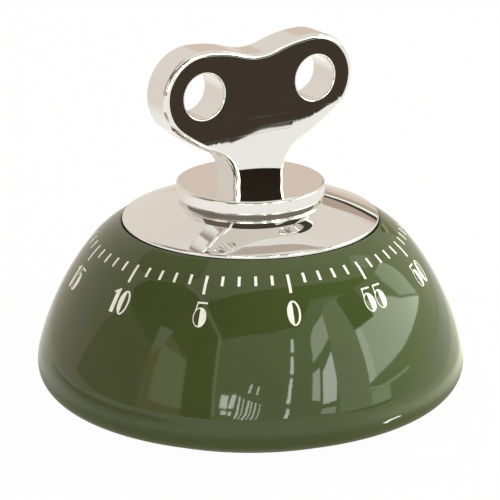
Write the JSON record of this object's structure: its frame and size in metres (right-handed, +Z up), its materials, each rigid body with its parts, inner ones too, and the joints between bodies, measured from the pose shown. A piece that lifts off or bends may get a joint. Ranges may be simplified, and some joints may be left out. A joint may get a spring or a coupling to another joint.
{
  "type": "kitchen timer",
  "caption": "Wind-up kitchen timer: glossy dome housing with a minute scale, chromed cap that turns with a butterfly key, spring movement and bell inside.",
  "frame": {"origin": "centre of the foot pad's resting face", "axes": "+Z up along the spindle, -Y towards the key's broad face at rest"},
  "size_m": [0.0894, 0.0892, 0.076],
  "materials": {
    "olive_gloss": "high-gloss moulded, dark olive green",
    "chrome": "bright plated and polished",
    "black_plastic": "fine moulded texture",
    "foot_rubber": "matt, anti-slip",
    "plated_steel": "zinc-plated",
    "brass": "stamped, lightly polished",
    "spring_steel": "tempered blue",
    "ivory_plastic": "satin ivory",
    "felt": "pressed felt",
    "bell_steel": "nickel plated"
  },
  "bodies": {
    "housing": {"housing_shell": "olive_gloss", "base_plate": "black_plastic", "foot_pad": "foot_rubber", "base_screws": "plated_steel", "top_plate": "plated_steel", "bottom_plate": "plated_steel", "pillars": "brass", "pillar_screws_top": "plated_steel", "pillar_screws_bottom": "plated_steel", "movement_screws": "plated_steel", "friction_washer": "felt", "mainspring": "spring_steel", "spring_post": "plated_steel", "hammer_spring": "spring_steel", "bell": "bell_steel", "bell_post": "plated_steel", "bell_screw": "plated_steel"},
    "knob": {"cap_shell": "chrome", "key_disc": "chrome", "key_grip": "chrome", "knob_hub": "ivory_plastic", "key_screw": "plated_steel", "main_arbor": "plated_steel", "great_wheel": "brass", "clutch_spring": "spring_steel", "trip_cam": "brass"},
    "second_arbor": {"second_pinion": "plated_steel", "second_wheel": "brass"},
    "third_arbor": {"third_pinion": "plated_steel", "third_wheel": "brass"},
    "escape_arbor": {"escape_pinion": "plated_steel", "escape_wheel": "brass"},
    "anchor": {"anchor_arbor": "plated_steel", "pallet_anchor": "plated_steel", "balance_bar": "brass"},
    "hammer": {"hammer_arbor": "plated_steel", "hammer_lever": "plated_steel", "detent_arm": "plated_steel", "hammer_head": "brass"}
  },
  "joints": [
    {"name": "key_turn", "type": "hinge", "parent": "housing", "child": "knob", "pos_m": [0, 0, 0.038], "axis": [0, 0, 1], "range_deg": [-354, 0], "deforming": ["mainspring"]},
    {"name": "second_turn", "type": "hinge", "parent": "housing", "child": "second_arbor", "pos_m": [0.0176, 0, 0.019], "axis": [0, 0, 1], "range_deg": [0, 2124]},
    {"name": "third_turn", "type": "hinge", "parent": "housing", "child": "third_arbor", "pos_m": [0.01232, 0.01307, 0.019], "axis": [0, 0, 1], "range_deg": [-12744, 0]},
    {"name": "escape_turn", "type": "hinge", "parent": "housing", "child": "escape_arbor", "pos_m": [0.00011, 0.02012, 0.019], "axis": [0, 0, 1], "range_deg": [0, 76464]},
    {"name": "anchor_swing", "type": "hinge", "parent": "housing", "child": "anchor", "pos_m": [-0.01004, 0.01906, 0.019], "axis": [0, 0, 1], "range_deg": [-3, 3]},
    {"name": "hammer_swing", "type": "hinge", "parent": "housing", "child": "hammer", "pos_m": [-0.02, -0.012, 0.019], "axis": [0, 0, 1], "range_deg": [-12, 0], "stiffness_Nm_per_rad": 0.002, "deforming": ["hammer_spring"]}
  ],
  "couplings": [
    {"joint": "second_turn", "follows": "key_turn", "ratio": -6},
    {"joint": "third_turn", "follows": "key_turn", "ratio": 36},
    {"joint": "escape_turn", "follows": "key_turn", "ratio": -216}
  ]
}
